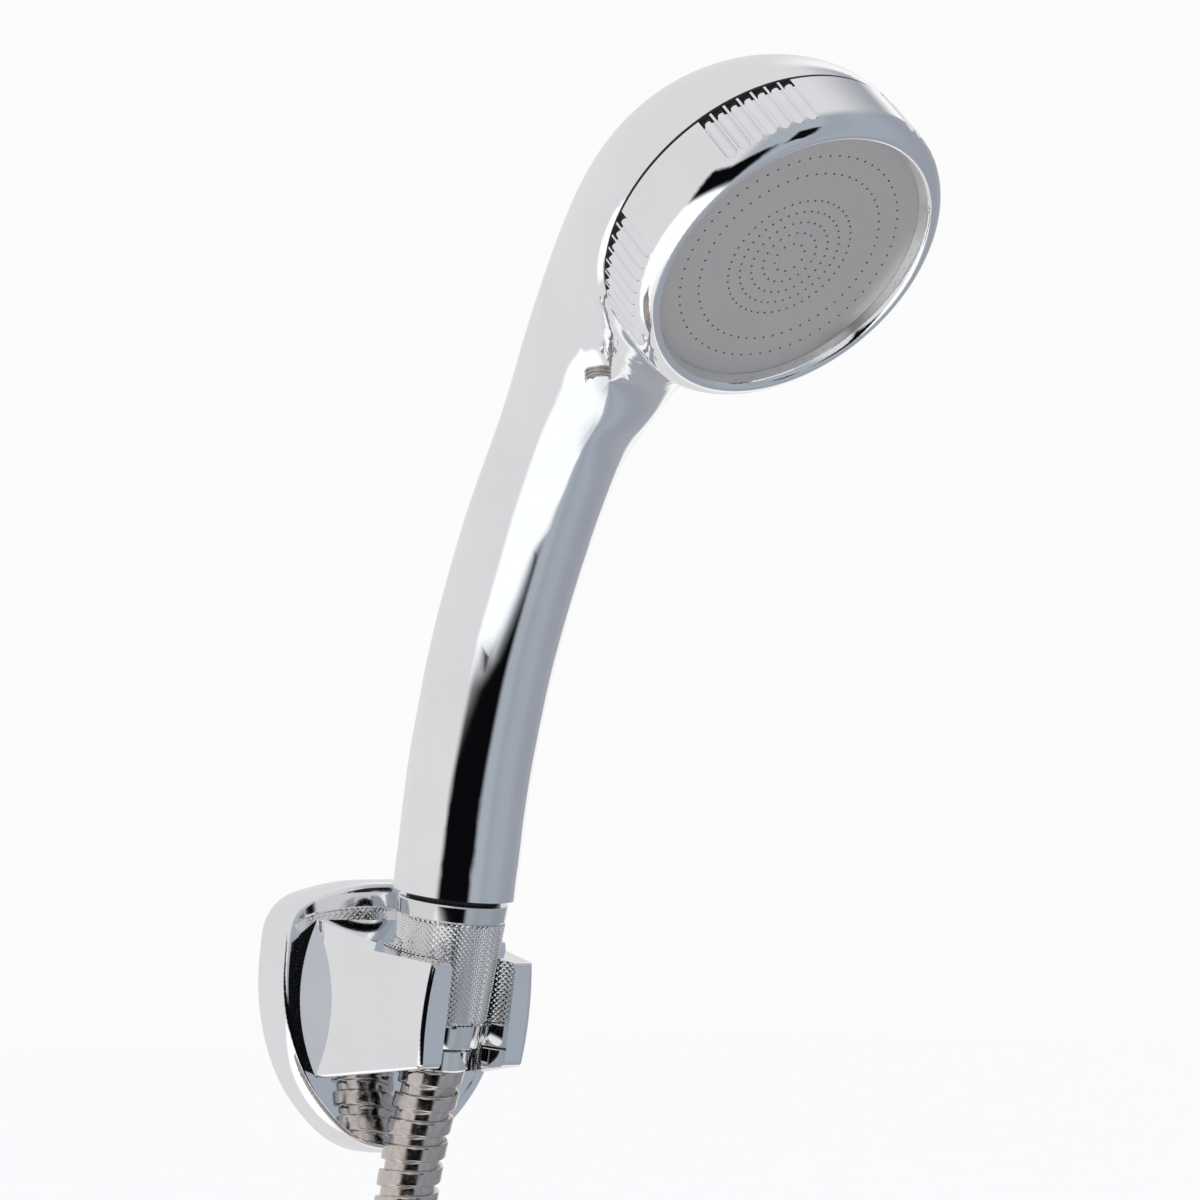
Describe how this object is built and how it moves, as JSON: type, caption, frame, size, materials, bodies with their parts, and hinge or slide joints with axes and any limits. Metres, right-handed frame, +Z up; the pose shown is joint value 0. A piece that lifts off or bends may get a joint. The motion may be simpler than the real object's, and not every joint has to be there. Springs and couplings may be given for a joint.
{
  "type": "handheld shower head",
  "caption": "Hand shower with a round pinhole spray face on a curved grip, resting in a fork-shaped wall bracket and fed by a flexible metal hose.",
  "frame": {"origin": "middle of the wall plate's back face, on the wall", "axes": "+Z up, -Y out of the wall toward the user, X along the wall"},
  "size_m": [0.1909, 0.1608, 0.409],
  "materials": {
    "chrome_cast": "polished chrome plate",
    "chrome_plastic": "bright chrome plate on moulded plastic",
    "chrome_knurl": "chrome plate over diamond knurl",
    "steel_hose": "polished interlocked stainless strip",
    "steel_face": "fine satin stainless sheet",
    "steel_screw": "stainless",
    "brass_part": "plain machined brass",
    "black_rubber": "black rubber",
    "white_plastic": "white moulded plastic",
    "tie_plastic": "black tie"
  },
  "bodies": {
    "bracket": {"wall_plate": "chrome_cast", "holder_fork": "chrome_cast", "fork_screws": "steel_screw", "mounting_plate": "steel_screw", "grub_screw": "steel_screw", "back_gasket": "black_rubber"},
    "hose_end": {"hose_ferrule": "brass_part", "hose_washer": "black_rubber", "hose_sleeves": "steel_hose", "hose_run": "steel_hose", "hose_coil": "steel_hose", "hose_tail": "steel_hose", "supply_ferrule": "brass_part", "supply_washer": "black_rubber", "coil_tie": "tie_plastic"},
    "handset": {"handle_shell": "chrome_plastic", "inlet_nipple": "brass_part", "inlet_o_ring": "black_rubber", "flow_restrictor": "white_plastic", "water_tube": "white_plastic", "diffuser": "white_plastic", "seam_ring": "black_rubber"},
    "nut": {"conical_nut": "chrome_knurl"},
    "spray_face": {"spray_plate": "steel_face", "plate_gasket": "black_rubber"},
    "ring": {"face_ring": "chrome_plastic"},
    "wall_nut": {"supply_nut": "chrome_cast"}
  },
  "joints": [
    {"name": "handset_lift", "type": "slide", "parent": "bracket", "child": "hose_end", "axis": [0, -0.1822, 0.9833], "range_m": [0, 0.022]},
    {"name": "handset_turn", "type": "hinge", "parent": "hose_end", "child": "handset", "pos_m": [0, -0.02496, 0.00813], "axis": [0, -0.1822, 0.9833], "range_deg": [-90, 90]},
    {"name": "nut_swivel", "type": "hinge", "parent": "hose_end", "child": "nut", "pos_m": [0, -0.02496, 0.00813], "axis": [0, -0.1822, 0.9833], "continuous": true},
    {"name": "ring_advance", "type": "slide", "parent": "handset", "child": "spray_face", "axis": [0, -0.6858, -0.7278], "range_m": [0, 0.003]},
    {"name": "ring_unscrew", "type": "hinge", "parent": "spray_face", "child": "ring", "pos_m": [0, -0.13506, 0.15279], "axis": [0, -0.6858, -0.7278], "range_deg": [0, 541]},
    {"name": "supply_nut_turn", "type": "hinge", "parent": "hose_end", "child": "wall_nut", "pos_m": [-0.00329, -0.06002, -0.20299], "axis": [-0.0192, -0.0346, -0.9992], "continuous": true}
  ],
  "couplings": [
    {"joint": "ring_unscrew", "follows": "ring_advance", "rad_per_m": 3141.6}
  ]
}
